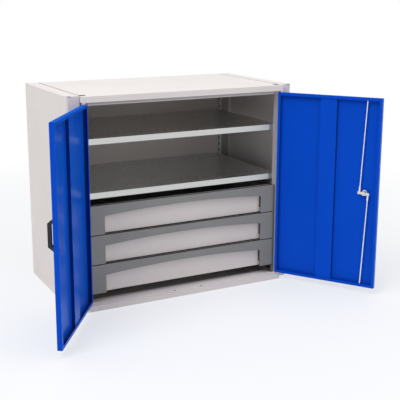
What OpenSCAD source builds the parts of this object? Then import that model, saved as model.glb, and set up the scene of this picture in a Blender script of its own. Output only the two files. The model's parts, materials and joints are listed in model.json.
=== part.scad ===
// Low two-door tool cabinet: a folded sheet-metal carcass with two shelves on
// slotted uprights, three drawers on telescopic rails, two pan doors on pivot
// pins and a two-rod lock on the right door. Millimetres, +Z up, front facing -Y,
// origin on the floor under the middle of the side panels.

/* [Carcass] */
// Overall width over the side panels
width = 950; // [900:5:1050]
// Depth of the side panels from their front face to the back
depth = 508; // [504:1:560]
// Overall height
height = 810; // [780:5:950]
// Thickness of the carcass sheet
sheet = 1.5; // [1.2:0.1:1.8]
// Width of each front post, from the outer side to the door opening
post_w = 76; // [72:1:84]
// Outer radius of the upright front corners and of the lip ends
corner_r = 10; // [6:1:12]
// Width of the strip that each side panel shows on top
cap_w = 52; // [48:1:54]
// Gap between the lid and that strip
cap_gap = 1.5; // [1:0.1:2]
// How far the front post folds back at the opening
post_return = 8.5; // [5:0.5:9]
// Width of the folds at the back of the side panels
rear_return = 30; // [20:1:40]

/* [Lid and base lips] */
// How far the lips stand out in front of the posts
lip_out = 30; // [29:0.5:36]
// Height of the lips
lip_h = 22; // [18:0.5:26]
// Distance from the outer side to the end of a lip
lip_inset = 50; // [46:0.5:51]
// Height of the strip that hangs under the lid behind the closed doors
stop_h = 15; // [10:1:18]
// How far the threshold reaches into the cabinet
threshold_in = 42; // [30:1:60]
// Height of the folded side flanges of the lid and the base
pan_flange = 20; // [18:1:26]

/* [Uprights and shelves] */
// Depth of the slotted uprights
upright_d = 20; // [16:1:22]
// Spacing of the slots
slot_pitch = 29; // [25:0.5:32]
// Height of a slot
slot_h = 12; // [10:1:14]
// Width of a slot
slot_w = 5; // [4:0.5:7]
// Height of the shelf edges
shelf_h = 22; // [18:1:26]
// Thickness of the shelf and drawer sheet
thin_sheet = 1.2; // [1:0.1:1.6]
// Number of slots between the two shelves
shelf_steps = 7; // [6:1:7]
// Clear space between the top drawer and the lower shelf
shelf_gap = 24.5; // [20:0.5:28]
// Spacing of the slots along a shelf
perforation_pitch = 33.3; // [28:0.1:40]
// Length of those slots
perforation_l = 10; // [6:1:14]
// Width of those slots
perforation_w = 5; // [3:0.5:7]
// Distance of a slot row from the shelf edge
perforation_inset = 72; // [50:1:90]

/* [Drawers] */
// Height of a drawer front
drawer_h = 111.5; // [109:0.5:114]
// Gap between drawer fronts
drawer_gap = 3.5; // [2:0.5:5]
// Height of the lowest drawer front above the floor
drawers_z = 58.5; // [54:0.5:62]
// How far the drawer fronts stand out in front of the posts
front_out = 4; // [3.6:0.1:5]
// How far the drawer fronts lap over the posts
front_lap = 1.5; // [0.5:0.1:2]
// Depth of the frame round a drawer front
frame_d = 15; // [12:1:18]
// Width of the legs of that frame
leg_w = 60; // [45:1:75]
// Height of the frame's top band at its ends
band_end_h = 41.5; // [38:0.5:50]
// Height of the top band in the middle
band_mid_h = 27; // [24:0.5:34]
// Wall of the moulded frame
frame_wall = 2.5; // [2:0.1:3]
// Height of a drawer tray
tray_h = 88; // [80:1:92]
// Length of the drawer rails
rail_l = 450; // [400:5:455]
// Height of the drawer rails
rail_h = 45; // [44:1:50]
// Thickness of a closed rail set
rail_t = 12.7; // [12.5:0.1:15]
// How far a drawer pulls out
drawer_travel = 400; // [300:5:420]

/* [Doors] */
// Angle of the doors as drawn
door_open = 124; // [90:1:150]
// Thickness of a door
door_t = 18; // [17:0.5:20]
// How far the door skin lies behind the front of the lips
door_setback = 2; // [1:0.5:3]
// Gap between the doors and the lips, above and below
door_gap = 7; // [6:0.5:9]
// Gap between the two closed doors
door_split = 3; // [2:0.5:5]
// Width of the folded rim round the inside of a door
door_rim = 11; // [10:1:12]
// Thickness of the door sheet
door_sheet = 1.2; // [1:0.1:1.5]
// Width of the door stiffener
stiffener_w = 67; // [50:1:80]
// Hinge pivot, from the hinge edge of the door
pivot_u = 8.5; // [8:0.5:9.5]
// Hinge pivot, from the outer face of the door
pivot_v = 6.5; // [6.4:0.1:7.5]
// Radius of the hinge pins
pin_r = 3; // [2.5:0.1:3.2]
// Running clearance on the hinge pins and the lock spindle
fit = 0.05; // [0.02:0.01:0.08]

/* [Handle and lock] */
// Height of the handle's middle
handle_z = 404; // [380:1:430]
// Spacing of the handle's screws
handle_pitch = 102; // [96:1:120]
// How far the handle stands out
handle_out = 34; // [30:1:40]
// Width of the handle
handle_w = 16; // [12:1:20]
// Distance of the handle from the free edge of its door
handle_inset = 61; // [50:1:70]
// Height of the lock's middle
lock_z = 409; // [390:1:430]
// Distance of the lock and its rods from the free edge of their door
lock_inset = 57.5; // [50:0.5:65]
// Distance from the lock's middle to each rod pin
crank_r = 17; // [16:0.5:18]
// Tilt of the crank when the rods are drawn in
crank_tilt = 5; // [0:1:8]
// Radius of the lock rods
rod_r = 3; // [2.5:0.1:3.2]
// Radius of the turned-down rod tips
rod_tip_r = 1.8; // [1.5:0.1:2.2]
// Distance of the rods' middle from the outer face of the door
rod_v = 13; // [12.8:0.1:13.2]
// Length of the outside lever
lever_l = 85; // [60:1:110]

/* [Hidden] */
$fn = 48;

// Planes and clearances shared by several pieces
half_w = width / 2;
front_y = -depth / 2;
back_y = depth / 2;
seat = 0.3;                                  // play left between loose neighbours
edge_play = 0.5;                             // play beside folded edges
cut = 1;                                     // overrun of cutting shapes
hole_play = 0.2;                             // play round bolts and screws
opening_x = half_w - post_w;                 // edge of the door opening
stop_x = opening_x - edge_play;              // half width of the stop strip and the threshold
lid_x = half_w - cap_w - cap_gap;            // half width of the lid and base plates
lip_x = half_w - lip_inset;                  // half width of the lips
lip_y = front_y - lip_out;                   // front of the lips
relief_y = 5;                                // corner reliefs of the lid and the base
relief_d = 12;
lip_less = 2;                                // lip ends rounded this much tighter than the posts
lip_r = corner_r - lip_less;
upright_x = lid_x + seat;                    // inner face of the slotted uprights
back_front_y = back_y - sheet - thin_sheet;  // inner face of the back panel

// Door planes, with the doors closed
door_face_y = lip_y + door_setback;
hinge_edge_x = lip_x - edge_play;
door_w = hinge_edge_x - door_split / 2;
door_z0 = lip_h + door_gap;
door_z1 = height - lip_h - door_gap;
pivot_x = hinge_edge_x - pivot_u;
pivot_y = door_face_y + pivot_v;
rod_x = door_w - lock_inset;                 // rods, from the hinge edge
rod_hole_x = hinge_edge_x - rod_x;           // rods, from the middle of the cabinet
rod_hole_y = door_face_y + rod_v;
tip_stray = 0.17 * crank_r;                  // how far a rod tip strays while it swings in
rod_hole_r = rod_tip_r + tip_stray + hole_play / 2;

// Hinge pins and bushes
bush_wall = 1.8;
bush_r = pin_r + bush_wall;
bush_len = 5;
collar_r = bush_r + edge_play + hole_play;
pin_head = 2;

// Drawer stack and shelves
drawer_pitch = drawer_h + drawer_gap;
drawer_top = drawers_z + 3 * drawer_pitch - drawer_gap;
face_x = opening_x + front_lap;              // half width of a drawer front
frame_play = 3;                              // between the frame's outer walls and the posts
frame_x = opening_x - frame_play;
frame_y = front_y - front_out;
panel_y = frame_y + frame_d;
panel_sheet = 1.5;
tray_y = panel_y + panel_sheet;
rail_y = tray_y;
tray_up = 10;                                // tray floor above the drawer front's foot
foot_up = 2;                                 // inset panel above the frame's feet
support_x = opening_x + edge_play;                 // inner face of the drawer supports
tray_x = support_x - rail_t;
tray_over = 5;                               // tray beyond the ends of the rails
tray_len = rail_l + tray_over;
rail_over = 4;                               // rails above the tray's floor
rail_up = tray_up + rail_over;
rail_play = 0.5;                             // ball gap between the rail members
screw_r = 2;
shelf_lower_z = drawer_top + shelf_gap;
shelf_upper_z = shelf_lower_z + shelf_steps * slot_pitch;
shelf_y0 = front_y + post_return + sheet;
shelf_back_gap = 1.5;
shelf_y1 = back_front_y - shelf_back_gap;
shelf_fold = 12;
clip_t = 1.5;
clip_w = 14;
clip_h = 15;
clip_hook_up = 7;                            // hook above the shelf's lower edge
shelf_x = upright_x - clip_t - seat;
upright_sunk = 18;                           // front uprights behind the posts' faces
front_upright_y = front_y + upright_sunk;
rear_upright_y = back_front_y - seat - upright_d;
upright_z0 = sheet + seat;
upright_z1 = height - sheet - seat;
bolt_r = 3;
bolt_l = 10;
bolt_z = 12;                                 // bolts from the floor and from the top
slot_margin = 50;                            // no slots this near an upright's ends

// Lock
crank_t = 2.5;
crank_v = rod_v + rod_r + seat;              // outer face of the crank plate
crank_end = 6.5;                             // crank beyond the middle of a rod pin
crank_half = crank_r + crank_end;
crank_w = 10;
eye_r = 5.5;
eye_flat = 0.4;                              // taken off the rod's thickness at its eye
eye_t = 2 * rod_r - eye_flat;
rod_pin_r = 2.5;
spindle_r = 5;
housing_r = 20;
housing_t = 8;
barrel_r = 12;
barrel_l = 7;
lever_t = 11.7;
slot_half = 8;                               // half length of the guide slots
upper_reach = door_z1 - edge_play - lock_z;
lower_reach = lock_z - door_z0 - edge_play;
upper_tilt = atan(crank_r * cos(crank_tilt) / (upper_reach - crank_r * sin(crank_tilt)));
lower_tilt = atan(crank_r * cos(crank_tilt) / (lower_reach - crank_r * sin(crank_tilt)));

paint = [0.87, 0.84, 0.83];
blue = [0.06, 0.24, 0.70];
graphite = [0.45, 0.47, 0.48];
zinc = [0.78, 0.79, 0.77];
dark = [0.16, 0.16, 0.16];
black = [0.08, 0.08, 0.08];

// A block between two corners
module block(low, high) {
    translate(low) cube(high - low);
}

// The same shape on the left and on the right
module both_sides() {
    children();
    mirror([1, 0, 0]) children();
}

// Plan of a side panel, drawn in by some inset, with its rounded front corner
module panel_plan(inset) {
    r = corner_r - inset;
    x0 = opening_x + inset;
    x1 = half_w - inset;
    y0 = front_y + inset;
    y1 = back_y - inset;
    translate([x0, y0 + r]) square([x1 - x0, y1 - y0 - r]);
    translate([x0, y0]) square([x1 - x0 - r, y1 - y0]);
    translate([x1 - r, y0 + r]) circle(r);
}

// Right side panel: front post, skin and rear fold in one sheet, capped top and bottom
module side_panel() {
    relief = corner_r + 1;
    difference() {
        linear_extrude(height) difference() {
            panel_plan(0);
            panel_plan(sheet);
            translate([opening_x - cut, front_y + post_return])
                square([half_w - rear_return - opening_x + cut, depth]);
            translate([opening_x - cut, front_y + post_return])
                square([sheet + 2 * cut, depth]);
        }
        for (z = [-cut, height - sheet - seat])
            block([opening_x - cut, front_y - cut, z],
                  [half_w - cap_w, back_y + cut, z + sheet + seat + cut]);
    }
    for (z = [0, height - sheet])
        difference() {
            block([half_w - cap_w, front_y + sheet / 2, z],
                  [half_w - sheet / 2, back_y - sheet / 2, z + sheet]);
            for (y = [front_y - cut, back_y - relief])
                block([half_w - relief, y, z - cut],
                      [half_w + cut, y + relief + cut, z + sheet + cut]);
        }
}

// Plan of a lip with rounded ends, drawn in by some inset
module lip_plan(inset, back) {
    r = lip_r - inset;
    x = lip_x - inset;
    y = lip_y + inset;
    translate([-x, y + r]) square([2 * x, back - y - r]);
    translate([-x + r, y]) square([2 * x - 2 * r, r + cut]);
    for (side = [-1, 1]) translate([side * (x - r), y + r]) circle(r);
}

// Hollow lip from the floor up, open towards the cabinet
module lip_shell() {
    difference() {
        linear_extrude(lip_h) lip_plan(0, front_y);
        translate([0, 0, sheet])
            linear_extrude(lip_h - 2 * sheet) lip_plan(sheet, front_y + cut);
    }
}

// Holes for the lock rods and the hinge pins through a lip
module lip_holes(z) {
    both_sides() {
        translate([rod_hole_x, rod_hole_y, z]) cylinder(h = sheet + 2 * cut, r = rod_hole_r);
        translate([pivot_x, pivot_y, z]) cylinder(h = sheet + 2 * cut, r = pin_r);
    }
}

// Bolt holes through the side flanges of the lid and the base, and the uprights
module bolt_holes(r) {
    for (side = [-1, 1])
        for (y = [front_upright_y + upright_d / 2, rear_upright_y + upright_d / 2])
            for (z = [bolt_z, height - bolt_z])
                translate([side * upright_x, y, z]) rotate([0, 90, 0])
                    cylinder(h = bolt_l, r = r, center = true);
}

// Plate with side flanges and a rear flange, from the floor up
module floor_pan() {
    block([-lid_x, front_y - cut, 0], [lid_x, back_y, sheet]);
    both_sides()
        block([lid_x - sheet, front_y + post_return + seat, 0],
              [lid_x, back_front_y - seat, pan_flange]);
    block([-lid_x, back_y - sheet, 0], [lid_x, back_y, pan_flange]);
}

module lid_form() {
    difference() {
        union() {
            translate([0, 0, height]) mirror([0, 0, 1]) {
                lip_shell();
                floor_pan();
            }
            block([-stop_x, front_y, height - lip_h - stop_h],
                  [stop_x, front_y + sheet, height - lip_h + sheet]);
            block([-stop_x, front_y - cut, height - lip_h],
                  [stop_x, front_y + sheet, height - lip_h + sheet]);
        }
        lip_holes(height - lip_h - cut);
        bolt_holes(bolt_r + hole_play);
        both_sides()
            block([opening_x, front_y + relief_y, height - sheet - cut],
                  [lid_x + cut, front_y + relief_y + relief_d, height + cut]);
    }
}

module base_form() {
    difference() {
        union() {
            lip_shell();
            floor_pan();
            block([-stop_x, front_y - cut, lip_h - sheet],
                  [stop_x, front_y + threshold_in, lip_h]);
            block([-stop_x, front_y + threshold_in - sheet, sheet / 2],
                  [stop_x, front_y + threshold_in, lip_h - sheet / 2]);
        }
        lip_holes(lip_h - sheet - cut);
        bolt_holes(bolt_r + hole_play);
        both_sides()
            block([opening_x, front_y + relief_y, -cut],
                  [lid_x + cut, front_y + relief_y + relief_d, sheet + cut]);
    }
}

module side_panel_left() { color(paint) mirror([1, 0, 0]) side_panel(); }
module side_panel_right() { color(paint) side_panel(); }
module lid() { color(paint) lid_form(); }
module base() { color(paint) base_form(); }

module back_panel() {
    x = half_w - sheet - edge_play;
    color(paint)
        block([-x, back_front_y, sheet + seat], [x, back_y - sheet, height - sheet - seat]);
}

// Right upright: a channel welded to the side panel, slotted on its inner face
module upright(y) {
    x1 = half_w - sheet;
    low = upright_z0 + slot_margin;
    high = upright_z1 - slot_margin;
    base_slot = shelf_lower_z + clip_hook_up;
    first = ceil((low - base_slot) / slot_pitch);
    last = floor((high - base_slot) / slot_pitch);
    color(zinc) difference() {
        block([upright_x, y, upright_z0], [x1, y + upright_d, upright_z1]);
        block([upright_x + sheet, y + sheet, upright_z0 - cut],
              [x1 + cut, y + upright_d - sheet, upright_z1 + cut]);
        for (k = [first:last])
            translate([upright_x + sheet / 2, y + upright_d / 2, base_slot + k * slot_pitch])
                cube([sheet + 2 * cut, slot_w, slot_h], center = true);
        bolt_holes(bolt_r + hole_play);
    }
}

module front_upright_right() { upright(front_upright_y); }
module front_upright_left() { mirror([1, 0, 0]) upright(front_upright_y); }
module rear_upright_right() { upright(rear_upright_y); }
module rear_upright_left() { mirror([1, 0, 0]) upright(rear_upright_y); }

// Bolts that hold the lid and the base to the uprights
module carcass_bolts() {
    head_r = 5;
    head_t = 3;
    inner = lid_x - sheet;
    color(zinc) both_sides()
        for (y = [front_upright_y + upright_d / 2, rear_upright_y + upright_d / 2])
            for (z = [bolt_z, height - bolt_z])
                translate([0, y, z]) rotate([0, 90, 0]) {
                    translate([0, 0, inner - head_t]) cylinder(h = head_t, r = head_r);
                    translate([0, 0, inner]) cylinder(h = bolt_l, r = bolt_r);
                }
}

// A hinge pin standing on the base lip, up into the door's lower bush
module hinge_pin() {
    translate([pivot_x, pivot_y, 0]) {
        translate([0, 0, lip_h - sheet - pin_head]) cylinder(h = pin_head, r = collar_r);
        translate([0, 0, lip_h - sheet]) cylinder(h = door_gap + sheet + bush_len, r = pin_r);
        translate([0, 0, lip_h]) cylinder(h = door_gap - seat, r = collar_r);
    }
}

module hinge_pins() {
    color(zinc) both_sides() {
        hinge_pin();
        translate([0, 0, height]) mirror([0, 0, 1]) hinge_pin();
    }
}

// Shelf: a shallow tray upside down, with folded edges and two rows of slots
module shelf(z) {
    row_end = 30;                            // plain stretch at each end of a slot row
    count = floor((shelf_x - row_end) / perforation_pitch);
    color(zinc) difference() {
        block([-shelf_x, shelf_y0, z], [shelf_x, shelf_y1, z + shelf_h]);
        block([-shelf_x + thin_sheet, shelf_y0 + thin_sheet, z + thin_sheet],
              [shelf_x - thin_sheet, shelf_y1 - thin_sheet, z + shelf_h - thin_sheet]);
        block([-shelf_x + thin_sheet, shelf_y0 + shelf_fold, z - cut],
              [shelf_x - thin_sheet, shelf_y1 - shelf_fold, z + 2 * cut]);
        for (y = [shelf_y0 + perforation_inset, shelf_y1 - perforation_inset])
            for (k = [-count:count - 1])
                translate([(k + 0.5) * perforation_pitch, y, z + shelf_h])
                    cube([perforation_l, perforation_w, 3 * thin_sheet], center = true);
    }
}

module shelf_upper() { shelf(shelf_upper_z); }
module shelf_lower() { shelf(shelf_lower_z); }

// Shelf clips: a ledge under the shelf and a hook through the upright's slot
module shelf_clips() {
    ledge = 14;
    hook_h = 8;
    hook_in = sheet + 2 * cut;
    hook_w = slot_w - 2 * edge_play;
    color(zinc) both_sides()
        for (z = [shelf_lower_z, shelf_upper_z])
            for (y = [front_upright_y, rear_upright_y])
                translate([upright_x, y + upright_d / 2, z]) {
                    block([-clip_t, -clip_w / 2, -clip_t], [0, clip_w / 2, clip_h]);
                    block([-ledge, -clip_w / 2, -clip_t], [-clip_t / 2, clip_w / 2, 0]);
                    block([-clip_t / 2, -hook_w / 2, clip_hook_up - hook_h / 2],
                          [hook_in, hook_w / 2, clip_hook_up + hook_h / 2]);
                }
}

// Right drawer support: a tall plate between the uprights that carries the rails
module drawer_support() {
    over = 8;                                // plate beyond the drawer stack
    z0 = drawers_z - over;
    z1 = drawer_top + over;
    y0 = front_upright_y;
    y1 = rear_upright_y + upright_d;
    color(paint) difference() {
        block([support_x, y0, z0], [upright_x, y1, z1]);
        block([support_x + sheet, y0 + sheet, z0 - cut],
              [upright_x + cut, y1 - sheet, z1 + cut]);
    }
}

module drawer_support_right() { drawer_support(); }
module drawer_support_left() { mirror([1, 0, 0]) drawer_support(); }

// Foot of drawer front n, where 1 is the top drawer
function drawer_z(n) = drawers_z + (3 - n) * drawer_pitch;

// A rail member: a channel open to the middle (out = 1) or to the side (out = -1)
module rail_member(x0, x1, h, z, len, web_out) {
    z0 = z + (rail_h - h) / 2;
    web = web_out ? [x0 - cut, x1 - thin_sheet] : [x0 + thin_sheet, x1 + cut];
    difference() {
        block([x0, rail_y, z0], [x1, rail_y + len, z0 + h]);
        block([web[0], rail_y - cut, z0 + thin_sheet],
              [web[1], rail_y + len + cut, z0 + h - thin_sheet]);
    }
}

rail_step = 2 * (thin_sheet + rail_play);
rail_web_gap = 2;                            // between the webs of neighbouring members
middle_short = 20;                           // middle members, shorter than the others
module outer_rails(n) {
    color(zinc) both_sides()
        rail_member(tray_x + rail_web_gap, support_x, rail_h, drawer_z(n) + rail_up, rail_l, true);
}
module middle_rails(n) {
    color(zinc) both_sides()
        rail_member(tray_x + rail_web_gap, support_x - rail_web_gap, rail_h - rail_step,
                    drawer_z(n) + rail_up, rail_l - middle_short, true);
}
module inner_rails(n) {
    color(zinc) both_sides()
        rail_member(tray_x, support_x - 2 * rail_web_gap - thin_sheet, rail_h - 2 * rail_step,
                    drawer_z(n) + rail_up, rail_l, false);
}

// Places of the four screws of a drawer front
function screw_xs() = [-1, 1] * (face_x - leg_w / 2);
screw_inset = 16;                            // from the tray's floor and from its top
function screw_ups() = [tray_up + screw_inset, tray_up + tray_h - screw_inset];
module at_screws(n, y) {
    for (x = screw_xs())
        for (up = screw_ups())
            translate([x, y, drawer_z(n) + up]) rotate([-90, 0, 0]) children();
}

// Floor and sides of a tray, folded from one sheet
module drawer_tray(n) {
    z0 = drawer_z(n) + tray_up;
    color(dark) difference() {
        block([-tray_x, tray_y, z0], [tray_x, tray_y + tray_len, z0 + tray_h]);
        block([-tray_x + thin_sheet, tray_y - cut, z0 + thin_sheet],
              [tray_x - thin_sheet, tray_y + tray_len + cut, z0 + tray_h + cut]);
    }
}

// Front and rear wall of a tray, welded in between its sides
module drawer_ends(n) {
    x = tray_x - thin_sheet;
    z0 = drawer_z(n) + tray_up + thin_sheet;
    z1 = drawer_z(n) + tray_up + tray_h;
    color(dark) difference() {
        for (y = [tray_y, tray_y + tray_len - thin_sheet])
            block([-x, y, z0], [x, y + thin_sheet, z1]);
        at_screws(n, tray_y - cut) cylinder(h = thin_sheet + 2 * cut, r = screw_r + hole_play);
    }
}

// Light front panel of a drawer, folded back along its top and bottom
module drawer_panel(n) {
    side_play = 4;
    x = frame_x - side_play;
    z0 = drawer_z(n) + foot_up;
    z1 = drawer_z(n) + drawer_h - edge_play;
    fold = 4;
    gap = 1.5;
    color(paint) difference() {
        block([-x, panel_y, z0], [x, tray_y + fold, z1]);
        block([-x - cut, tray_y, z0 + panel_sheet], [x + cut, tray_y + fold + cut, z1 - gap]);
        at_screws(n, panel_y - cut) cylinder(h = panel_sheet + 2 * cut, r = screw_r + hole_play);
    }
}

// Front outline of the frame's opening: straight sides under a flat arch
module arch_plan(inset, foot) {
    span = face_x - leg_w;
    half = span + inset;
    rise = band_end_h - band_mid_h;
    arch_r = (span * span + rise * rise) / (2 * rise);
    intersection() {
        translate([-half, foot]) square([2 * half, drawer_h]);
        translate([0, drawer_h - band_mid_h - arch_r])
            circle(arch_r, $fn = 360);
    }
}

// Moulded frame of a drawer front: two legs and an arched band that is hollow
// behind, so that fingers hook up into it
module drawer_frame(n) {
    z0 = drawer_z(n);
    foot_notch = 22;
    boss_r = 5;
    screw_cover = frame_wall + cut;          // left in front of a screw's hole
    leg_in = face_x - leg_w + frame_wall;
    color(graphite) translate([0, frame_y + frame_d, z0]) rotate([90, 0, 0]) difference() {
        union() {
            linear_extrude(frame_d) difference() {
                translate([-frame_x, 0]) square([2 * frame_x, drawer_h]);
                arch_plan(0, -cut);
                translate([-frame_x + frame_wall, frame_wall])
                    square([2 * (frame_x - frame_wall), drawer_h - 2 * frame_wall]);
            }
            linear_extrude(frame_d) for (side = [-1, 1])
                translate([side * (leg_in - frame_wall / 2) - frame_wall / 2, 0])
                    square([frame_wall, drawer_h - frame_wall / 2]);
            translate([0, 0, frame_d - frame_wall]) linear_extrude(frame_wall) difference() {
                translate([-face_x, 0]) square([2 * face_x, drawer_h]);
                arch_plan(0, -cut);
            }
            for (x = screw_xs())
                for (up = screw_ups())
                    translate([x, up, 0]) cylinder(h = frame_d - frame_wall / 2, r = boss_r);
        }
        for (x = screw_xs())
            for (up = screw_ups())
                translate([x, up, -cut]) cylinder(h = frame_d - screw_cover + cut, r = screw_r);
        for (side = [-1, 1])
            translate([side * (leg_in - frame_wall / 2) - frame_wall, -cut, -cut])
                cube([2 * frame_wall, foot_notch + cut, frame_d - frame_wall + cut]);
    }
}

module drawer_screws(n) {
    head_y = tray_y + thin_sheet;
    bite = 8;                                // thread inside the frame's bosses
    head_h = 2.4;
    color(zinc) {
        at_screws(n, panel_y - bite) cylinder(h = head_y - panel_y + bite, r = screw_r);
        at_screws(n, head_y) cylinder(h = head_h, r = 2 * screw_r);
    }
}

module outer_rails_1() { outer_rails(1); }
module outer_rails_2() { outer_rails(2); }
module outer_rails_3() { outer_rails(3); }
module middle_rails_1() { middle_rails(1); }
module middle_rails_2() { middle_rails(2); }
module middle_rails_3() { middle_rails(3); }
module inner_rails_1() { inner_rails(1); }
module inner_rails_2() { inner_rails(2); }
module inner_rails_3() { inner_rails(3); }
module drawer_tray_1() { drawer_tray(1); }
module drawer_tray_2() { drawer_tray(2); }
module drawer_tray_3() { drawer_tray(3); }
module drawer_ends_1() { drawer_ends(1); }
module drawer_ends_2() { drawer_ends(2); }
module drawer_ends_3() { drawer_ends(3); }
module drawer_panel_1() { drawer_panel(1); }
module drawer_panel_2() { drawer_panel(2); }
module drawer_panel_3() { drawer_panel(3); }
module drawer_frame_1() { drawer_frame(1); }
module drawer_frame_2() { drawer_frame(2); }
module drawer_frame_3() { drawer_frame(3); }
module drawer_screws_1() { drawer_screws(1); }
module drawer_screws_2() { drawer_screws(2); }
module drawer_screws_3() { drawer_screws(3); }

// Places what is drawn in the right door's own frame: x = 0 at its hinge edge and
// negative towards its free edge, y = 0 on its outer face and growing inwards
module on_right_door() {
    translate([pivot_x, pivot_y, 0]) rotate([0, 0, door_open])
        translate([pivot_u, -pivot_v, 0]) children();
}
module on_left_door() {
    mirror([1, 0, 0]) on_right_door() children();
}

// Door pan: skin, edges and a folded rim round the inside
module door_pan() {
    t = door_sheet;
    difference() {
        block([-door_w, 0, door_z0], [0, door_t, door_z1]);
        block([-door_w + t, t, door_z0 + t], [-t, door_t - t, door_z1 - t]);
        block([-door_w + door_rim, door_t - t - cut, door_z0 + door_rim],
              [-door_rim, door_t + cut, door_z1 - door_rim]);
        translate([-pivot_u, pivot_v, door_z0 - cut]) cylinder(h = t + 2 * cut, r = bush_r);
        translate([-pivot_u, pivot_v, door_z1 - t - cut]) cylinder(h = t + 2 * cut, r = bush_r);
    }
}

// Stiffener: a channel welded to the skin by its two feet
module door_stiffener() {
    t = door_sheet;
    mid = -door_w / 2;
    foot = 12;
    rim_gap = 2.5;                           // between the stiffener and the door's rim
    inner = door_t - t - rim_gap;
    z0 = door_z0 + t + seat;
    z1 = door_z1 - t - seat;
    difference() {
        block([mid - stiffener_w / 2, t, z0], [mid + stiffener_w / 2, inner, z1]);
        block([mid - stiffener_w / 2 + t, 0, z0 - cut],
              [mid + stiffener_w / 2 - t, inner - t, z1 + cut]);
    }
    for (side = [-1, 1])
        translate([mid + side * (stiffener_w / 2 + foot / 2 - t / 2), 1.5 * t, (z0 + z1) / 2])
            cube([foot + t, t, z1 - z0], center = true);
}

// Hinge bushes, pressed into the door's top and bottom edge
module door_bushes() {
    flange_h = 1.5;
    flange_r = bush_r + seat;
    for (top = [false, true])
        translate([0, 0, top ? door_z0 + door_z1 : 0]) mirror([0, 0, top ? 1 : 0])
            translate([-pivot_u, pivot_v, door_z0]) difference() {
                union() {
                    cylinder(h = door_sheet, r = bush_r);
                    translate([0, 0, door_sheet]) cylinder(h = bush_len - door_sheet, r = bush_r);
                    translate([0, 0, door_sheet]) cylinder(h = flange_h, r = flange_r);
                }
                translate([0, 0, -cut]) cylinder(h = bush_len + 2 * cut, r = pin_r + fit);
            }
}

module left_door_pan() {
    color(blue) on_left_door() difference() {
        door_pan();
        for (side = [-1, 1])
            translate([-door_w + handle_inset, -cut, handle_z + side * handle_pitch / 2])
                rotate([-90, 0, 0])
                    cylinder(h = door_sheet + 2 * cut, r = handle_screw_r + hole_play);
    }
}
module left_door_stiffener() { color(blue) on_left_door() door_stiffener(); }
module left_door_bushes() { color(dark) on_left_door() door_bushes(); }

handle_screw_r = 2.5;
handle_screw_bite = 10;                      // thread inside the handle

// Bridge handle with chamfered corners, on the outer face of the left door
module door_handle() {
    foot_end = 7;                            // foot beyond the middle of its screw
    foot_l = 2 * foot_end;
    foot_rise = 14;                          // height at which the outer side turns in
    taper = 1.5;
    bar = 11;
    slope = 6;                               // inner corners nearer the middle than the outer
    foot = handle_pitch / 2 + foot_end;
    flat = handle_pitch / 2 - bar;
    outer = [[0, foot], [-foot_rise, foot - taper], [-handle_out, flat],
             [-handle_out, -flat], [-foot_rise, -foot + taper], [0, -foot]];
    inner = [[cut, -foot + foot_l], [-bar, -foot + foot_l], [-handle_out + bar, -flat + slope],
             [-handle_out + bar, flat - slope], [-bar, foot - foot_l], [cut, foot - foot_l]];
    color(black) on_left_door()
        translate([-door_w + handle_inset - handle_w / 2, 0, handle_z]) difference() {
            rotate([90, 0, 90]) linear_extrude(handle_w) difference() {
                polygon(outer);
                polygon(inner);
            }
            for (side = [-1, 1])
                translate([handle_w / 2, cut, side * handle_pitch / 2])
                    rotate([90, 0, 0]) cylinder(h = handle_screw_bite + 2 * cut, r = handle_screw_r);
        }
}

module handle_screws() {
    head_h = 2.8;
    head_r = 4.5;
    color(zinc) on_left_door() for (side = [-1, 1])
        translate([-door_w + handle_inset, door_sheet, handle_z + side * handle_pitch / 2])
            rotate([90, 0, 0]) {
                cylinder(h = door_sheet + handle_screw_bite, r = handle_screw_r);
                translate([0, 0, -head_h]) cylinder(h = head_h, r = head_r);
            }
}

module right_door_pan() {
    t = door_sheet;
    slot_v = rod_r + edge_play;
    color(blue) on_right_door() difference() {
        door_pan();
        translate([-rod_x, -cut, lock_z]) rotate([-90, 0, 0])
            cylinder(h = t + 2 * cut, r = barrel_r);
        for (z = [door_z0 - cut, door_z1 - t - cut])
            block([-rod_x - slot_half, rod_v - slot_v, z],
                  [-rod_x + slot_half, rod_v + slot_v, z + t + 2 * cut]);
    }
}
module right_door_stiffener() { color(blue) on_right_door() door_stiffener(); }
module right_door_bushes() { color(dark) on_right_door() door_bushes(); }

// Draws on the lock's axis: z = 0 at the outer face of the door, growing inwards,
// x towards the hinge edge and y downwards
module at_lock() {
    on_right_door() translate([-rod_x, 0, lock_z]) rotate([-90, 0, 0]) children();
}

module lock_housing() {
    color(black) at_lock() difference() {
        union() {
            translate([0, 0, -housing_t]) cylinder(h = housing_t, r = housing_r);
            cylinder(h = barrel_l, r = barrel_r);
        }
        translate([0, 0, -housing_t - cut])
            cylinder(h = housing_t + barrel_l + 2 * cut, r = spindle_r + fit);
    }
}

module lock_nut() {
    nut_h = 4;
    nut_wall = 5;
    color(zinc) at_lock() translate([0, 0, door_sheet]) difference() {
        cylinder(h = nut_h, r = barrel_r + nut_wall);
        translate([0, 0, -cut]) cylinder(h = nut_h + 2 * cut, r = barrel_r);
    }
}

cylinder_r = 6.5;
cylinder_deep = 8;
cylinder_out = 1.5;                          // key cylinder in front of the lever's hub
lever_front = -housing_t - seat - lever_t;

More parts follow.
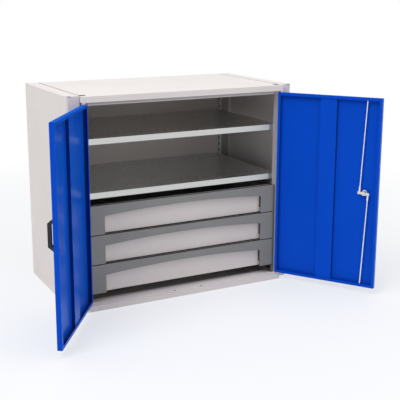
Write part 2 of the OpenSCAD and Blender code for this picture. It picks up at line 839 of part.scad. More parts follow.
// Outside lever on its spindle, lying along the crank
module lock_lever() {
    hub_r = 17;
    arm_w = 20;
    arm_t = 8;
    arm_l = lever_l - arm_w / 2;
    color(black) at_lock() rotate([0, 0, -crank_tilt]) difference() {
        union() {
            translate([0, 0, lever_front]) cylinder(h = lever_t, r = hub_r);
            translate([0, -arm_w / 2, lever_front]) cube([arm_l, arm_w, arm_t]);
            translate([arm_l, 0, lever_front]) cylinder(h = arm_t, r = arm_w / 2);
            translate([0, 0, lever_front + cylinder_deep])
                cylinder(h = crank_v + crank_t - lever_front - cylinder_deep, r = spindle_r);
        }
        translate([0, 0, lever_front - cut])
            cylinder(h = cylinder_deep + cut, r = cylinder_r + fit);
    }
}

// Key cylinder with a bare keyway
module lock_cylinder() {
    keyway = [1.6, 8, 4];
    face = lever_front - cylinder_out;
    color(zinc) at_lock() rotate([0, 0, -crank_tilt]) difference() {
        translate([0, 0, face]) cylinder(h = cylinder_deep + cylinder_out - seat, r = cylinder_r);
        translate([-keyway[0] / 2, -keyway[1] / 2, face - cut])
            cube([keyway[0], keyway[1], keyway[2] + cut]);
    }
}

module lock_crank() {
    boss_r = 8.5;
    color(zinc) at_lock() rotate([0, 0, -crank_tilt])
        translate([0, 0, crank_v]) difference() {
            union() {
                translate([-crank_half, -crank_w / 2, 0]) cube([2 * crank_half, crank_w, crank_t]);
                cylinder(h = crank_t, r = boss_r);
            }
            translate([0, 0, -cut]) cylinder(h = crank_t + 2 * cut, r = spindle_r);
            for (side = [-1, 1])
                translate([side * crank_r, 0, -cut]) cylinder(h = crank_t + 2 * cut, r = rod_pin_r);
        }
}

module crank_screw() {
    head_h = 2.2;
    head_r = 6;
    color(zinc) at_lock() translate([0, 0, crank_v + crank_t]) cylinder(h = head_h, r = head_r);
}

// Pins that carry the two rods
module rod_pins() {
    head_h = 1.2;
    head_r = rod_pin_r + 1.5;
    outer = rod_v - rod_r - 1;
    inner = crank_v + crank_t;
    color(zinc) at_lock() rotate([0, 0, -crank_tilt]) for (side = [-1, 1])
        translate([side * crank_r, 0, 0]) {
            translate([0, 0, outer]) cylinder(h = inner - outer, r = rod_pin_r);
            translate([0, 0, outer - head_h]) cylinder(h = head_h, r = head_r);
            translate([0, 0, inner]) cylinder(h = head_h, r = head_r);
        }
}

// A lock rod drawn along -y from its eye, with a thicker neck and a thin tip
module rod(len) {
    neck = 26;
    tip_l = 14;
    neck_more = 1;
    difference() {
        union() {
            translate([0, 0, -eye_t / 2]) cylinder(h = eye_t, r = eye_r);
            rotate([90, 0, 0]) cylinder(h = len - tip_l, r = rod_r);
            rotate([90, 0, 0]) cylinder(h = len, r = rod_tip_r);
            rotate([90, 0, 0]) cylinder(h = neck, r = rod_r + neck_more);
        }
        translate([0, 0, -eye_t]) cylinder(h = 2 * eye_t, r = rod_pin_r + fit);
        for (side = [-1, 1])
            translate([-2 * eye_r, -neck - 2 * cut, side > 0 ? eye_t / 2 : -eye_t / 2 - 2])
                cube([4 * eye_r, neck + eye_r + 3 * cut, 2]);
    }
}

module upper_rod() {
    pin_up = crank_r * sin(crank_tilt);
    pin_side = crank_r * cos(crank_tilt);
    len = (upper_reach - pin_up) / cos(upper_tilt);
    color(zinc) at_lock() translate([pin_side, -pin_up, rod_v])
        rotate([0, 0, -upper_tilt]) rod(len);
}

module lower_rod() {
    pin_up = crank_r * sin(crank_tilt);
    pin_side = crank_r * cos(crank_tilt);
    len = (lower_reach - pin_up) / cos(lower_tilt);
    color(zinc) at_lock() translate([-pin_side, pin_up, rod_v])
        rotate([0, 0, 180 - lower_tilt]) rod(len);
}

side_panel_left();
side_panel_right();
lid();
base();
back_panel();
front_upright_left();
front_upright_right();
rear_upright_left();
rear_upright_right();
carcass_bolts();
hinge_pins();
shelf_upper();
shelf_lower();
shelf_clips();
drawer_support_left();
drawer_support_right();
outer_rails_1();
outer_rails_2();
outer_rails_3();
middle_rails_1();
middle_rails_2();
middle_rails_3();
inner_rails_1();
inner_rails_2();
inner_rails_3();
drawer_tray_1();
drawer_tray_2();
drawer_tray_3();
drawer_ends_1();
drawer_ends_2();
drawer_ends_3();
drawer_panel_1();
drawer_panel_2();
drawer_panel_3();
drawer_frame_1();
drawer_frame_2();
drawer_frame_3();
drawer_screws_1();
drawer_screws_2();
drawer_screws_3();
left_door_pan();
left_door_stiffener();
left_door_bushes();
door_handle();
handle_screws();
right_door_pan();
right_door_stiffener();
right_door_bushes();
lock_housing();
lock_nut();
lock_lever();
lock_cylinder();
lock_crank();
crank_screw();
rod_pins();
upper_rod();
lower_rod();
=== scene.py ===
import json
import math

import bpy
from bpy.props import FloatProperty, FloatVectorProperty, PointerProperty
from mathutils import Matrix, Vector


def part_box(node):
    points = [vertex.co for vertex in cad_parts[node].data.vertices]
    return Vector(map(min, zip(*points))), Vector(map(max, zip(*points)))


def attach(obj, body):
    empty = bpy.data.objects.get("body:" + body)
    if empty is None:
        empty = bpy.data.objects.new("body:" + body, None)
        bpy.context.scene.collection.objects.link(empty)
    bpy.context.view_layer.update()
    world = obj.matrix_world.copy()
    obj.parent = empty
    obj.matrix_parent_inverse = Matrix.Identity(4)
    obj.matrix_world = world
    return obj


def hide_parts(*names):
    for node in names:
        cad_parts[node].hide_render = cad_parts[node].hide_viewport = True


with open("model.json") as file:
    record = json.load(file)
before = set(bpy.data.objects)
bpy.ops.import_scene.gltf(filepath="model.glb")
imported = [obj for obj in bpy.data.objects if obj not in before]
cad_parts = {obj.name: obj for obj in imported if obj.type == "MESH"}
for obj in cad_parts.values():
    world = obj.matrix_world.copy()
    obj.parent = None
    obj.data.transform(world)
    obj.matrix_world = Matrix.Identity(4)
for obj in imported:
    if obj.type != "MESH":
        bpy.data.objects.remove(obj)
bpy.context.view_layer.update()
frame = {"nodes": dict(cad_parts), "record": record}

bl_info = {
    "name": "Two-door tool cabinet",
    "version": (1, 0, 0),
    "blender": (4, 5, 0),
    "location": "View3D > Sidebar > Cabinet",
    "description": "Dresses the packed tool cabinet: folded sheet, powder coat, zinc and plastic",
    "category": "Object",
}

BODY_OF = {node: body for body, nodes in frame["record"]["behaviour"]["bodies"].items()
           for node in nodes}
SIDES = ("left", "right")
DRAWERS = (1, 2, 3)

# Planes of the cabinet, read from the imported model
PANEL_LOW, PANEL_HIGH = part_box("side_panel_right")
HALF_WIDTH = PANEL_HIGH[0]
OPENING = PANEL_LOW[0]          # inner edge of the front posts
FRONT = PANEL_LOW[1]
BACK = PANEL_HIGH[1]
HEIGHT = PANEL_HIGH[2]
DOOR_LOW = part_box("right_door_pan")[0][2]
DOOR_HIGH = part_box("right_door_pan")[1][2]
UPRIGHT_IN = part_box("rear_upright_right")[0][0]
UPRIGHT_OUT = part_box("rear_upright_right")[1][0]
UPRIGHT_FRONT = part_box("rear_upright_right")[0][1]
UPRIGHT_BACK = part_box("rear_upright_right")[1][1]
DRAWER_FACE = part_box("drawer_frame_1")[0][1]
FRONTS_TOP = max(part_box(f"drawer_frame_{n}")[1][2] for n in DRAWERS)
SHELF_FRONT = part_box("shelf_upper")[0][1]
SHELF_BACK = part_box("shelf_upper")[1][1]
SHELF_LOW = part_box("shelf_lower")[0][2]

# Carcass
SHEET = 0.0015
CORNER = 0.0101                 # radius of the front posts' outer corner
POST_RETURN = FRONT + 0.012     # behind the front posts' faces
CAP = HALF_WIDTH - 0.052        # inner edge of the strips on top of the side panels
SEAM = 0.0015                   # gap between the lid and those strips
LIP_END = HALF_WIDTH - 0.050
LIP_ROUND = 0.030               # radius of the lips' ends
LIP_HEIGHT = 0.022
LIP_HOLLOW = FRONT - 0.0288     # behind the lips' front sheet
LIP_SHEET = 0.0012
LIP_RIM = 0.0008                # keeps the hollow's painted shade off the lip's edge
THRESHOLD_BACK = FRONT + 0.042  # rear edge of the threshold

# Doors, given for the right one
DOOR_PIVOT = (0.416, -0.2755)
DOOR_ANGLE = math.radians(124.0)
DOOR_EDGE = (0.0085, 0.0065)    # from the hinge axis to the door's edge and to its skin
DOOR_WIDTH = 0.423
DOOR_SHEET = 0.0012
DOOR_INNER = (DOOR_SHEET * 0.6, DOOR_SHEET * 1.15)      # depths round the skin's inner face
DOOR_WALLS = 0.0140             # depth that the rims and the stiffener's walls reach
WALL_NEAR = 0.0007              # a face this near to a wall's plane is that wall
CREASE_SHADE = 0.007                  # width of the painted shade beside a fold
DOOR_END = 0.0004               # a face this near to the ends is an end
RIB_WIDTH = 0.067
WELD_PITCH = 0.082              # spot welds along the stiffener's feet
WELD_INSET = 0.006
WELD_EDGE = (0.0018, 0.0032)    # radii between which a dimple rises
WELD_REACH = 0.0035             # depth within which the feet lie

# Uprights, given for the rear right one, and shelves
UPRIGHT_FACE = UPRIGHT_IN + 0.0004      # just behind the inner face
UPRIGHT_FLANGE = UPRIGHT_IN + 0.0045    # outer end of the painted highlight on the front edge
UPRIGHT_STRIP = UPRIGHT_FRONT + 0.0145  # rear end of the strip with the slots and its painted highlight
UPRIGHT_SLOT = 0.0545           # height of the lowest slot
UPRIGHT_PITCH = 0.029
UPRIGHT_SLOT_HALF = 0.0065
SLOT_PITCH = 0.0333             # slots of the shelves
SLOT_INSET = 0.072
SLOT_HALF = (0.0056, 0.0034)


# Boxes for the finishes --------------------------------------------------------

def span(x=(None, None), y=(None, None), z=(None, None)):
    """Low and high corner of a box; None leaves a side open."""
    return tuple(zip(x, y, z))


# Painted shade of the inside: the inside paint, a darker copy of the carcass paint, half a sheet
# in from the outer faces
IN_WALL, IN_BACK, IN_TOP = HALF_WIDTH - SHEET / 2, BACK - SHEET / 2, HEIGHT - SHEET / 2
IN_FRONT, IN_FLOOR = FRONT + SHEET / 2, SHEET / 2
CLEAR = 0.0003                  # keeps it off the faces beside it
WALLS_INSIDE = (
    span(x=(OPENING + SHEET + CLEAR, IN_WALL), y=(FRONT + CORNER, IN_BACK), z=(IN_FLOOR, IN_TOP)),
    span(x=(None, HALF_WIDTH - CORNER), y=(IN_FRONT, IN_BACK), z=(IN_FLOOR, IN_TOP)))
FLOOR_INSIDE = (span(y=(THRESHOLD_BACK + CLEAR, IN_BACK), z=(IN_FLOOR, None)),)
LID_INSIDE = (span(y=(IN_FRONT, IN_BACK), z=(None, IN_TOP)),)

# Painted shade in the gaps and hollows
SEAM_X = (CAP - SEAM - 0.0014, CAP + 0.0014)
SEAM_Y = (FRONT - 0.0001, None)
SEAM_REACH = 0.045
# painted shade in the seam between the lid and the side panels' strips, at the top and at the
# foot
LID_SEAM = span(SEAM_X, SEAM_Y, (HEIGHT - SEAM_REACH, None))
FOOT_SEAM = span(SEAM_X, SEAM_Y, (None, SEAM_REACH))
# painted shade in the relief slots at the lid's front corners
LID_CORNER = span((OPENING - 0.0006, CAP), (FRONT - 0.0024, FRONT + 0.0255),
                  (HEIGHT - 0.006, None))
# painted shade in the hollows behind the lips of lid and base
HOLLOW_X = (None, LIP_END - LIP_ROUND)
LID_HOLLOW = span(HOLLOW_X, (LIP_HOLLOW, FRONT),
                  (HEIGHT - LIP_HEIGHT + LIP_RIM, HEIGHT - LIP_SHEET))
FOOT_HOLLOW = span(HOLLOW_X, (LIP_HOLLOW, THRESHOLD_BACK - LIP_SHEET),
                   (LIP_SHEET, LIP_HEIGHT - LIP_RIM))

# Painted shadows and painted highlights, each with the factor on its paint
NOTCH_LOW = HEIGHT - 0.004
CARCASS_PAINTED_SHADE = (
    # painted shade in the corner reliefs on top of the side panels, front and rear
    (span((HALF_WIDTH - 0.0185, HALF_WIDTH - 0.0065), (None, FRONT + 0.0112),
          (NOTCH_LOW, None)), 0.5),
    (span((HALF_WIDTH - 0.0112, IN_WALL), (BACK - 0.0112, None), (NOTCH_LOW, None)), 0.5),
    (span((None, OPENING + 0.018), (None, POST_RETURN)), 0.62),     # painted shade beside the opening
    (span((None, OPENING + 0.0030), (None, POST_RETURN)), 0.60),    # painted shade in the posts' inner fold
    # painted shadow of the drawer fronts, beside them
    (span((None, OPENING + 0.0120), (None, POST_RETURN), (None, FRONTS_TOP)), 0.20),
)
THRESHOLD_PAINTED_LIGHT = (
    # painted light: the threshold's top is lighter, against the shade under the drawers
    (span(y=(FRONT - 0.026, THRESHOLD_BACK - 0.001), z=(LIP_HEIGHT - 0.0006, None)), 1.22),
)
STRIP_Y = (FRONT - 0.0004, FRONT + 0.0007)      # the strip that hangs behind the doors
STRIP_TOP = HEIGHT - LIP_HEIGHT
LID_PAINTED_SHADE = (
    # painted shade on the strip under the lip
    (span(y=STRIP_Y, z=(STRIP_TOP - 0.0160, STRIP_TOP)), 0.82),
    (span(y=STRIP_Y, z=(STRIP_TOP - 0.0105, STRIP_TOP)), 0.60),     # painted shade right under the lip
    # painted shadow where the lip's end meets the side panel's strip
    (span((LIP_END - 0.0030, None), (FRONT - 0.0065, FRONT), (STRIP_TOP, HEIGHT - 0.004)), 0.30),
)
UPRIGHT_PAINTED_LIGHT_AND_SHADE = (
    # painted shade on the front flange
    (span(x=(UPRIGHT_FLANGE, UPRIGHT_OUT - 0.0100)), 0.58),
    # painted shade in the inside of the channel
    (span(x=(UPRIGHT_FACE, None), y=(UPRIGHT_FRONT + 0.0008, UPRIGHT_BACK - 0.0008)), 0.20),
    (span(x=(None, UPRIGHT_FACE), y=(UPRIGHT_STRIP, None)), 0.70),      # painted shade behind the slots
    (span(y=(None, 0.0), z=(FRONTS_TOP - 0.004, SHELF_LOW)), 0.15),     # painted shade over the drawers
    # painted highlights on the front edge and on the strip with the slots
    (span(x=(None, UPRIGHT_FLANGE), y=(None, UPRIGHT_FRONT + 0.0005)), 1.35),
    (span(x=(None, UPRIGHT_FACE), y=(None, UPRIGHT_STRIP)), 1.35),
)
# painted shade in the slots of that strip
UPRIGHT_COLUMN = span(x=(None, UPRIGHT_FACE), y=(UPRIGHT_FRONT + 0.0060, UPRIGHT_STRIP))

# Grains of the powder coats: scale, detail and roughness of their noise
CLOUD = (5.0, 4.0)
PEEL = (900.0, 2.0, 0.45)
FINE = (260.0, 2.0, 0.5)
PEEL_DEPTH = 0.00003

# Camera, fitted to the cabinet's corners in the photo, and stage
CAMERA_PLACE = (-1.40129, -3.03208, 1.16614)
CAMERA_DIP = math.radians(12.84)
CAMERA_TURN = math.radians(-27.04)
CAMERA_SHIFT = (0.0254, -0.0479)
LAMP_AIM = (0.0, -0.1, 0.4)
FLOOR_SIZE = 60.0
FLOOR_LEVEL = -0.0005
FADE = {"From Min": 0.9, "From Max": 2.6, "To Min": 0.55, "To Max": 1.0}
WHITE = (1.0, 1.0, 1.0, 1.0)


# Values on the panel -----------------------------------------------------------

def colour_property(name, default, description):
    return FloatVectorProperty(name=name, description=description, default=default,
                               subtype="COLOR", size=3, min=0.0, max=1.0)


def length_property(name, default, description, low=0.0, high=0.1):
    return FloatProperty(name=name, description=description, default=default,
                         min=low, max=high, unit="LENGTH", subtype="DISTANCE")


class CABINET_PG_colours(bpy.types.PropertyGroup):
    carcass: colour_property("Carcass paint", (0.745, 0.695, 0.68),
                             "Powder coat on the outside of the carcass")
    # painted shade: the inside paint is the carcass paint made darker, for the shade inside the
    # carcass
    inside: colour_property("Inside paint", (0.68, 0.625, 0.60),
                            "Powder coat on the inside of the carcass")
    doors: colour_property("Door paint", (0.003, 0.071, 0.585),
                           "Powder coat of both doors")
    inset: colour_property("Drawer inset", (0.70, 0.65, 0.625),
                           "Powder coat of the panels in the drawer fronts")
    front: colour_property("Drawer frame", (0.235, 0.235, 0.228),
                           "Moulded plastic of the drawer fronts")
    tray: colour_property("Drawer tray", (0.36, 0.35, 0.34),
                          "Paint of the drawer trays")
    # painted shade: the colour of the shadow lines in the seams
    gap: colour_property("Gap", (0.012, 0.012, 0.012),
                         "Shadow line in the seams of the carcass")
    zinc: colour_property("Zinc", (0.72, 0.72, 0.70), "Bright zinc of rails, lock and screws")
    rod: colour_property("Lock rods", (0.80, 0.86, 0.98), "Bright zinc of the lock rods")
    shelf: colour_property("Galvanised sheet", (0.68, 0.69, 0.67), "Shelves and uprights")
    black: colour_property("Black plastic", (0.012, 0.012, 0.013), "Handle and lever")


class CABINET_PG_sizes(bpy.types.PropertyGroup):
    sheet_edge: length_property("Sheet edge", 0.00045, "Rounding of the edges of the sheet metal")
    plastic_edge: length_property("Plastic edge", 0.0005, "Rounding of the moulded edges")
    handle_edge: length_property("Handle edge", 0.0024, "Rounding of the handle")
    lever_edge: length_property("Lever edge", 0.0018, "Rounding of the lever and its housing")
    metal_edge: length_property("Metal edge", 0.0004, "Rounding of the lock's metal parts")


class CABINET_PG_studio(bpy.types.PropertyGroup):
    lens: length_property("Lens", 0.07404, "Focal length of the camera", 0.02, 0.3)
    key: FloatProperty(name="Key lamp", description="Power of the key lamp", default=155.0,
                       min=0.0, unit="POWER")
    fill: FloatProperty(name="Fill lamp", description="Power of the fill lamp", default=20.0,
                        min=0.0, unit="POWER")
    top: FloatProperty(name="Top lamp", description="Power of the lamp overhead", default=42.0,
                       min=0.0, unit="POWER")
    world: FloatProperty(name="World", description="Level of the plain light all round",
                         default=0.5, min=0.0)


# Mesh work ---------------------------------------------------------------------

def deselect():
    if bpy.context.object and bpy.context.object.mode != "OBJECT":
        bpy.ops.object.mode_set(mode="OBJECT")
    bpy.ops.object.select_all(action="DESELECT")


def take(piece):
    deselect()
    piece.select_set(True)
    bpy.context.view_layer.objects.active = piece


def apply_modifiers(piece):
    take(piece)
    for modifier in list(piece.modifiers):
        bpy.ops.object.modifier_apply(modifier=modifier.name)


def copy_of(node, name):
    """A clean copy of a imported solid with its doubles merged."""
    take(frame["nodes"][node])
    bpy.ops.object.duplicate()
    piece = bpy.context.object
    piece.name = name
    piece.data.name = name
    bpy.ops.object.mode_set(mode="EDIT")
    bpy.ops.mesh.select_all(action="SELECT")
    bpy.ops.mesh.remove_doubles(threshold=0.000002)
    bpy.ops.object.mode_set(mode="OBJECT")
    piece.data.materials.clear()
    return piece


def dress(node, finish):
    """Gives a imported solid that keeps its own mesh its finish."""
    piece = frame["nodes"][node]
    if not piece.material_slots:
        piece.data.materials.append(finish)
    for slot in piece.material_slots:
        slot.material = finish


def round_edges(piece, width, segments):
    """Bevels every edge that is sharper than 35 degrees."""
    bevel = piece.modifiers.new("round", "BEVEL")
    bevel.width = width
    bevel.segments = segments
    bevel.limit_method = "ANGLE"
    bevel.angle_limit = math.radians(35.0)
    bevel.miter_outer = "MITER_ARC"
    bevel.use_clamp_overlap = True
    bevel.harden_normals = False
    apply_modifiers(piece)


def smooth(piece):
    """Smooth rounded edges, with the flat faces kept flat beside them."""
    take(piece)
    bpy.ops.object.shade_smooth_by_angle(angle=math.radians(38.0))
    flat = piece.modifiers.new("flat", "WEIGHTED_NORMAL")
    flat.mode = "FACE_AREA"
    flat.weight = 100
    flat.keep_sharp = True
    apply_modifiers(piece)


def wear(piece, finish):
    piece.data.materials.clear()
    piece.data.materials.append(finish)


def soften(node, name, finish, width, segments=2):
    """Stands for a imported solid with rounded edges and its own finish."""
    piece = copy_of(node, name)
    round_edges(piece, width, segments)
    smooth(piece)
    wear(piece, finish)
    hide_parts(node)
    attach(piece, BODY_OF[node])


# Finishes ----------------------------------------------------------------------

class Finish:
    """A node material on Object coordinates with one Principled shader."""

    def __init__(self, name):
        self.material = bpy.data.materials.new(name)
        self.material.use_nodes = True
        self.nodes = self.material.node_tree.nodes
        self.links = self.material.node_tree.links
        self.shader = self.nodes["Principled BSDF"]
        self.place = self.nodes.new("ShaderNodeTexCoord").outputs["Object"]

    def node(self, kind, **values):
        made = self.nodes.new("ShaderNode" + kind)
        for key, value in values.items():
            setattr(made, key, value)
        return made

    def join(self, source, target):
        self.links.new(source, target)

    def axes(self, place):
        """The three coordinates of a place."""
        split = self.node("SeparateXYZ")
        self.join(place, split.inputs[0])
        return tuple(split.outputs)

    def noise(self, scale, detail, roughness=0.5, stretch=None):
        place = self.place
        if stretch:
            mapping = self.node("Mapping")
            mapping.inputs["Scale"].default_value = stretch
            self.join(place, mapping.inputs["Vector"])
            place = mapping.outputs["Vector"]
        texture = self.node("TexNoise")
        texture.inputs["Scale"].default_value = scale
        texture.inputs["Detail"].default_value = detail
        texture.inputs["Roughness"].default_value = roughness
        self.join(place, texture.inputs["Vector"])
        return texture.outputs["Fac"]

    def spread(self, source, low, high, start=0.3, end=0.7):
        """Maps a texture onto a narrow range of values."""
        mapped = self.node("MapRange")
        mapped.inputs["From Min"].default_value = start
        mapped.inputs["From Max"].default_value = end
        mapped.inputs["To Min"].default_value = low
        mapped.inputs["To Max"].default_value = high
        self.join(source, mapped.inputs["Value"])
        return mapped.outputs["Result"]

    def mix(self, amount, one, other):
        mixed = self.node("Mix", data_type="RGBA")
        self.join(amount, mixed.inputs[0])
        for value, socket in ((one, mixed.inputs[6]), (other, mixed.inputs[7])):
            if isinstance(value, bpy.types.NodeSocket):
                self.join(value, socket)
            else:
                socket.default_value = (*value, 1.0)
        return mixed.outputs[2]

    def math(self, operation, one, other=None):
        made = self.node("Math", operation=operation)
        for value, socket in ((one, made.inputs[0]), (other, made.inputs[1])):
            if isinstance(value, bpy.types.NodeSocket):
                self.join(value, socket)
            elif value is not None:
                socket.default_value = value
        return made.outputs[0]

    def bump(self, height, distance, strength, normal=None):
        made = self.node("Bump")
        made.inputs["Distance"].default_value = distance
        made.inputs["Strength"].default_value = strength
        self.join(height, made.inputs["Height"])
        if normal is not None:
            self.join(normal, made.inputs["Normal"])
        return made.outputs["Normal"]

    def set(self, **values):
        for key, value in values.items():
            socket = self.shader.inputs[key.replace("_", " ")]
            if isinstance(value, bpy.types.NodeSocket):
                self.join(value, socket)
            else:
                socket.default_value = value


def shade(colour, factor):
    return tuple(min(1.0, c * factor) for c in colour)


def within(f, low, high):
    """Mask of a box, the same on both sides of the cabinet."""
    x, y, z = f.axes(f.place)
    place = (f.math("ABSOLUTE", x), y, z)
    mask = None
    for test, edges in (("GREATER_THAN", low), ("LESS_THAN", high)):
        for value, edge in zip(place, edges):
            if edge is not None:
                step = f.math(test, value, edge)
                mask = step if mask is None else f.math("MULTIPLY", mask, step)
    return mask


def powder_coat(name, colour, inside=None, regions=(), dark=None, gap_shadows=(), painted_shading=(), rough=0.42):
    """Satin powder coat with a fine orange peel; boxes may take the darker inside paint, painted
    shade and light, or the painted shade of the gaps.
    """
    f = Finish(name)
    cloud = f.spread(f.noise(*CLOUD), 0.0, 1.0)
    tone = f.mix(cloud, shade(colour, 0.975), shade(colour, 1.02))
    # painted shade: boxes inside the carcass take the darker inside paint
    if inside is not None:
        dim = f.mix(cloud, shade(inside, 0.93), shade(inside, 1.05))
        for low, high in regions:
            tone = f.mix(within(f, low, high), tone, dim)
    # painted shade and painted light, each box with its factor
    for (low, high), factor in painted_shading:
        tone = f.mix(within(f, low, high), tone, shade(colour, factor))
    for low, high in gap_shadows:
        tone = f.mix(within(f, low, high), tone, dark)
    f.set(Base_Color=tone, Roughness=f.spread(f.noise(*FINE), rough - 0.05, rough + 0.05),
          Normal=f.bump(f.noise(*PEEL), PEEL_DEPTH, 0.5), Specular_IOR_Level=0.4)
    return f.material


def door_place(f):
    """Where a point of either door is: from its middle line, above its middle, from its skin."""
    x, y, z = f.axes(f.place)
    folded = f.node("CombineXYZ")
    for value, socket in zip((f.math("ABSOLUTE", x), y, z), folded.inputs):
        f.join(value, socket)
    turned = f.node("Mapping", vector_type="TEXTURE")
    turned.inputs["Location"].default_value = (*DOOR_PIVOT, 0.0)
    turned.inputs["Rotation"].default_value = (0.0, 0.0, DOOR_ANGLE)
    f.join(folded.outputs[0], turned.inputs["Vector"])
    x, y, z = f.axes(turned.outputs[0])
    along = f.math("SUBTRACT", DOOR_EDGE[0], x)
    across = f.math("ABSOLUTE", f.math("SUBTRACT", along, DOOR_WIDTH / 2))
    up = f.math("ABSOLUTE", f.math("SUBTRACT", z, (DOOR_LOW + DOOR_HIGH) / 2))
    return across, up, f.math("ADD", y, DOOR_EDGE[1])


def weld_dimples(f, across, up, deep):
    """Mask of the spot welds in both feet of the stiffener."""
    step = f.math("SUBTRACT", f.math("FRACT", f.math("DIVIDE", up, WELD_PITCH)), 0.5)
    off = (f.math("MULTIPLY", step, WELD_PITCH),
           f.math("SUBTRACT", across, RIB_WIDTH / 2 + WELD_INSET))
    apart = f.math("SQRT", f.math("ADD", f.math("MULTIPLY", off[0], off[0]),
                                  f.math("MULTIPLY", off[1], off[1])))
    return f.math("MULTIPLY", f.spread(apart, 0.0, 1.0, *WELD_EDGE),
                  f.math("LESS_THAN", deep, WELD_REACH))


def door_coat(name, colour):
    """Glossier powder coat of the doors, with painted shade in the corners of pan and stiffener
    and on their walls.
    """
    f = Finish(name)
    across, up, deep = door_place(f)
    half_up = (DOOR_HIGH - DOOR_LOW) / 2
    to_side = f.math("ABSOLUTE", f.math("SUBTRACT", across, DOOR_WIDTH / 2 - DOOR_SHEET))
    to_rib = f.math("ABSOLUTE", f.math("SUBTRACT", across, RIB_WIDTH / 2))
    to_end = f.math("ABSOLUTE", f.math("SUBTRACT", up, half_up - DOOR_SHEET))
    near = f.math("MINIMUM", f.math("MINIMUM", to_side, to_rib), to_end)
    inner = f.math("MULTIPLY", f.math("GREATER_THAN", deep, DOOR_INNER[0]),
                   f.math("LESS_THAN", deep, DOOR_INNER[1]))
    crease_shade = f.math("MULTIPLY", inner, f.spread(near, 0.42, 0.0, 0.0, CREASE_SHADE))
    wall = f.math("MULTIPLY", f.math("GREATER_THAN", deep, DOOR_INNER[1]),
                  f.math("LESS_THAN", deep, DOOR_WALLS))
    wall = f.math("MULTIPLY", wall, f.math("LESS_THAN", near, WALL_NEAR))
    matt_end = f.math("MULTIPLY", f.math("GREATER_THAN", up, half_up - DOOR_END), 0.6)
    cloud = f.spread(f.noise(*CLOUD), 0.0, 1.0)
    tone = f.mix(cloud, shade(colour, 0.975), shade(colour, 1.02))
    # painted shade in the creases beside the folds and on the walls of pan and stiffener
    tone = f.mix(f.math("MAXIMUM", crease_shade, f.math("MULTIPLY", wall, 0.70)), tone,
                 shade(colour, 0.08))
    peel = f.bump(f.noise(*PEEL), PEEL_DEPTH, 0.4)
    f.set(Base_Color=tone,
          Roughness=f.math("ADD", f.spread(f.noise(*FINE), 0.20, 0.27), matt_end),
          Normal=f.bump(weld_dimples(f, across, up, deep), 0.0004, 0.6, peel),
          IOR=1.18, Specular_IOR_Level=0.3, Specular_Tint=(0.30, 0.55, 1.0, 1.0),
          Sheen_Weight=0.28, Sheen_Roughness=0.4, Sheen_Tint=(0.03, 0.46, 1.0, 1.0))
    return f.material


def moulded(name, colour, rough, grain, face=None):
    """Moulded plastic with a fine spark-eroded grain; behind its face it may carry painted shade.
    """
    f = Finish(name)
    cloud = f.noise(9.0, 3.0)
    tone = f.mix(f.spread(cloud, 0.0, 1.0), shade(colour, 0.95), shade(colour, 1.04))
    if face is not None:
        # painted shade on the faces behind the front face
        tone = f.mix(within(f, *span(y=(face, None))), tone, shade(colour, 0.16))
    grains = f.node("TexVoronoi")
    grains.inputs["Scale"].default_value = grain
    f.join(f.place, grains.inputs["Vector"])
    scuff = f.noise(120.0, 5.0, 0.6)
    f.set(Base_Color=tone, Roughness=f.spread(scuff, rough - 0.06, rough + 0.07),
          Normal=f.bump(grains.outputs["Distance"], 0.00004, 0.5), Specular_IOR_Level=0.4)
    return f.material


def slot_shade_rows(f, rows):
    """Masks of the painted shade in the slots of a shelf, one for each row."""
    x, y, _ = f.axes(f.place)
    turn = f.math("FRACT", f.math("DIVIDE", x, SLOT_PITCH))
    along = f.math("LESS_THAN", f.math("ABSOLUTE", f.math("SUBTRACT", turn, 0.5)),
                   SLOT_HALF[0] / SLOT_PITCH)
    for row in rows:
        across = f.math("LESS_THAN", f.math("ABSOLUTE", f.math("SUBTRACT", y, row)), SLOT_HALF[1])
        yield f.math("MULTIPLY", along, across)


def slot_shade_column(f, low, high):
    """Mask of the painted shade in the slots of an upright, within a box."""
    _, _, z = f.axes(f.place)
    turn = f.math("FRACT", f.math("DIVIDE", f.math(
        "SUBTRACT", z, UPRIGHT_SLOT - UPRIGHT_PITCH / 2), UPRIGHT_PITCH))
    slot = f.math("LESS_THAN", f.math("ABSOLUTE", f.math("SUBTRACT", turn, 0.5)),
                  UPRIGHT_SLOT_HALF / UPRIGHT_PITCH)
    return f.math("MULTIPLY", slot, within(f, low, high))


def galvanised(name, colour, rough, spangle, metal=1.0, rows=(), lip=None, painted_shading=(), column=None):
    """Hot-dip galvanised sheet with faint spangles and rolling streaks; painted shade in its
    slots and on its lip, painted light and shade in boxes.
    """
    f = Finish(name)
    cells = f.node("TexVoronoi", feature="F1")
    cells.inputs["Scale"].default_value = spangle
    f.join(f.place, cells.inputs["Vector"])
    grey = f.node("RGBToBW")
    f.join(cells.outputs["Color"], grey.inputs[0])
    rolled = f.noise(60.0, 3.0, 0.6, stretch=(0.04, 1.0, 1.0))
    tone = f.mix(f.spread(grey.outputs[0], 0.0, 1.0, 0.1, 0.9),
                 shade(colour, 0.95), shade(colour, 1.03))
    if rows:
        for slots in slot_shade_rows(f, rows):
            # painted shade in the slots
            tone = f.mix(slots, tone, (0.16, 0.16, 0.16))
    if lip is not None:
        # painted shade on the front of the lip, standing in for its darker reflection
        tone = f.mix(within(f, *span(y=(None, lip))), tone, shade(colour, 0.86))
    # painted shade and painted light, each box with its factor
    for (low, high), factor in painted_shading:
        tone = f.mix(within(f, low, high), tone, shade(colour, factor))
    # painted shade in the slots of an upright
    if column is not None:
        tone = f.mix(slot_shade_column(f, *column), tone, shade(colour, 0.40))
    f.set(Base_Color=tone, Metallic=metal,
          Roughness=f.math("ADD", f.spread(grey.outputs[0], rough - 0.02, rough + 0.02, 0.1, 0.9),
                           f.spread(rolled, -0.02, 0.03)),
          Normal=f.bump(rolled, 0.00001, 0.1))
    return f.material


